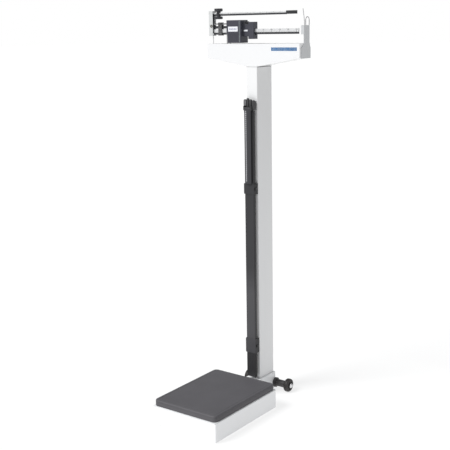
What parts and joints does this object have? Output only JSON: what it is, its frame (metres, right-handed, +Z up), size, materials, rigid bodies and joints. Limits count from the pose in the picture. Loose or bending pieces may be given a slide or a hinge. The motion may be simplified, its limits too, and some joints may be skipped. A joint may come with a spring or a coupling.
{
  "type": "physician beam scale",
  "caption": "Upright mechanical beam scale: low weighing platform on levers, tall column with a two-bar weigh beam on top, folding height rod and transport wheels.",
  "frame": {"origin": "on the floor, under the middle of the object's box", "axes": "+Z up; front of the scale (where the platform is) towards -Y; the beam's reading end towards +X"},
  "size_m": [0.3971, 0.545, 1.427],
  "materials": {
    "white_enamel": "satin",
    "dark_enamel": "satin",
    "black_plastic": "matte",
    "poise_enamel": "satin",
    "mat_rubber": "matte",
    "wheel_rubber": "matte",
    "plain_steel": "brushed",
    "bright_plate": "satin",
    "lever_iron": "cast",
    "grey_enamel": "satin",
    "rod_aluminium": "black anodised"
  },
  "bodies": {
    "frame": {"base_tray": "white_enamel", "neck_cover": "white_enamel", "foot_front_left": "wheel_rubber", "foot_front_right": "wheel_rubber", "foot_rear_left": "wheel_rubber", "foot_rear_right": "wheel_rubber", "fulcrum_stand_front_left": "lever_iron", "fulcrum_stand_front_right": "lever_iron", "fulcrum_stand_rear_left": "lever_iron", "fulcrum_stand_rear_right": "lever_iron", "column_tube": "white_enamel", "column_top_plate": "white_enamel", "head_shell": "white_enamel", "head_cover": "white_enamel", "beam_stand": "plain_steel", "shelf_stand": "plain_steel", "guide_post": "grey_enamel", "trig_loop": "bright_plate", "balance_pointer": "bright_plate", "rod_channel": "dark_enamel", "upper_clip": "black_plastic", "lower_clip": "black_plastic", "axle_left": "dark_enamel", "axle_right": "dark_enamel", "hub_nut_left": "bright_plate", "hub_nut_right": "bright_plate"},
    "platform": {"platform_mat": "mat_rubber", "platform_pan": "plain_steel", "platform_hanger_front_left": "lever_iron", "platform_hanger_front_right": "lever_iron", "platform_hanger_rear_left": "lever_iron", "platform_hanger_rear_right": "lever_iron"},
    "long_lever": {"long_lever": "lever_iron"},
    "short_lever": {"short_lever": "lever_iron"},
    "nose_link": {"nose_link": "plain_steel"},
    "steelyard_rod": {"steelyard_rod": "plain_steel"},
    "shelf_lever": {"shelf_lever": "lever_iron"},
    "load_stirrup": {"load_stirrup": "grey_enamel", "load_link": "plain_steel"},
    "beam": {"beam_casting": "dark_enamel", "main_knife": "plain_steel", "load_knife": "plain_steel", "upper_bar": "dark_enamel", "upper_scale_plate": "bright_plate", "upper_end_cap": "black_plastic", "lower_bar": "dark_enamel", "lower_scale_plate": "bright_plate", "balance_screw": "plain_steel"},
    "main_poise": {"main_poise": "poise_enamel"},
    "poise_pawl": {"poise_pawl": "black_plastic"},
    "small_poise": {"small_poise": "poise_enamel"},
    "balance_weight": {"balance_weight": "poise_enamel"},
    "height_rod": {"inner_rod": "rod_aluminium", "rod_head": "black_plastic", "arm_hinge_pin": "plain_steel"},
    "measuring_arm": {"measuring_arm": "rod_aluminium"},
    "upper_clip_screw": {"upper_clip_screw": "plain_steel"},
    "lower_clip_screw": {"lower_clip_screw": "plain_steel"},
    "wheel_left": {"wheel_left": "wheel_rubber"},
    "wheel_right": {"wheel_right": "wheel_rubber"}
  },
  "joints": [
    {"name": "beam_tilt", "type": "hinge", "parent": "frame", "child": "beam", "pos_m": [-0.1175, 0.1832, 1.3605], "axis": [0, -1, 0], "range_deg": [-0.8, 0.8]},
    {"name": "stirrup_travel", "type": "slide", "parent": "frame", "child": "load_stirrup", "axis": [0, 0, 1], "range_m": [-0.001, 0.001]},
    {"name": "shelf_lever_tilt", "type": "hinge", "parent": "frame", "child": "shelf_lever", "pos_m": [0.09, 0.1832, 1.267], "axis": [0, -1, 0], "range_deg": [-0.21, 0.21]},
    {"name": "steelyard_travel", "type": "slide", "parent": "frame", "child": "steelyard_rod", "axis": [0, 0, 1], "range_m": [-0.00033, 0.00033]},
    {"name": "long_lever_tilt", "type": "hinge", "parent": "frame", "child": "long_lever", "pos_m": [0, -0.235, 0.032], "axis": [1, 0, 0], "range_deg": [-0.045, 0.045]},
    {"name": "short_lever_tilt", "type": "hinge", "parent": "frame", "child": "short_lever", "pos_m": [0, 0.062, 0.046], "axis": [1, 0, 0], "range_deg": [-0.045, 0.045]},
    {"name": "nose_link_travel", "type": "slide", "parent": "frame", "child": "nose_link", "axis": [0, 0, 1], "range_m": [-0.00012, 0.00012]},
    {"name": "platform_travel", "type": "slide", "parent": "frame", "child": "platform", "axis": [0, 0, 1], "range_m": [-0.00005, 0.00005]},
    {"name": "main_poise_slide", "type": "slide", "parent": "beam", "child": "main_poise", "axis": [1, 0, 0], "range_m": [0, 0.17]},
    {"name": "poise_pawl_press", "type": "slide", "parent": "main_poise", "child": "poise_pawl", "axis": [0, 0, -1], "range_m": [0, 0.0018], "stiffness_N_per_m": 300},
    {"name": "small_poise_slide", "type": "slide", "parent": "beam", "child": "small_poise", "axis": [1, 0, 0], "range_m": [0, 0.274]},
    {"name": "balance_weight_slide", "type": "slide", "parent": "beam", "child": "balance_weight", "axis": [1, 0, 0], "range_m": [-0.008, 0.008]},
    {"name": "height_rod_slide", "type": "slide", "parent": "frame", "child": "height_rod", "axis": [0, 0, 1], "range_m": [0, 0.85]},
    {"name": "arm_fold", "type": "hinge", "parent": "height_rod", "child": "measuring_arm", "pos_m": [0, 0.127, 1.08], "axis": [-1, 0, 0], "range_deg": [0, 90]},
    {"name": "upper_clip_screw_turn", "type": "hinge", "parent": "frame", "child": "upper_clip_screw", "pos_m": [0, 0.14, 0.792], "axis": [1, 0, 0], "range_deg": [0, 360]},
    {"name": "lower_clip_screw_turn", "type": "hinge", "parent": "frame", "child": "lower_clip_screw", "pos_m": [0, 0.14, 0.2005], "axis": [1, 0, 0], "range_deg": [0, 360]},
    {"name": "wheel_left_spin", "type": "hinge", "parent": "frame", "child": "wheel_left", "pos_m": [-0.09, 0.2475, 0.0255], "axis": [1, 0, 0], "continuous": true},
    {"name": "wheel_right_spin", "type": "hinge", "parent": "frame", "child": "wheel_right", "pos_m": [0.09, 0.2475, 0.0255], "axis": [1, 0, 0], "continuous": true}
  ],
  "couplings": [
    {"joint": "stirrup_travel", "follows": "beam_tilt", "m_per_rad": -0.07},
    {"joint": "shelf_lever_tilt", "follows": "beam_tilt", "ratio": 0.25225},
    {"joint": "steelyard_travel", "follows": "beam_tilt", "m_per_rad": -0.022703},
    {"joint": "long_lever_tilt", "follows": "beam_tilt", "ratio": -0.054287},
    {"joint": "short_lever_tilt", "follows": "beam_tilt", "ratio": 0.054287},
    {"joint": "nose_link_travel", "follows": "beam_tilt", "m_per_rad": -0.008062},
    {"joint": "platform_travel", "follows": "beam_tilt", "m_per_rad": -0.003257}
  ]
}
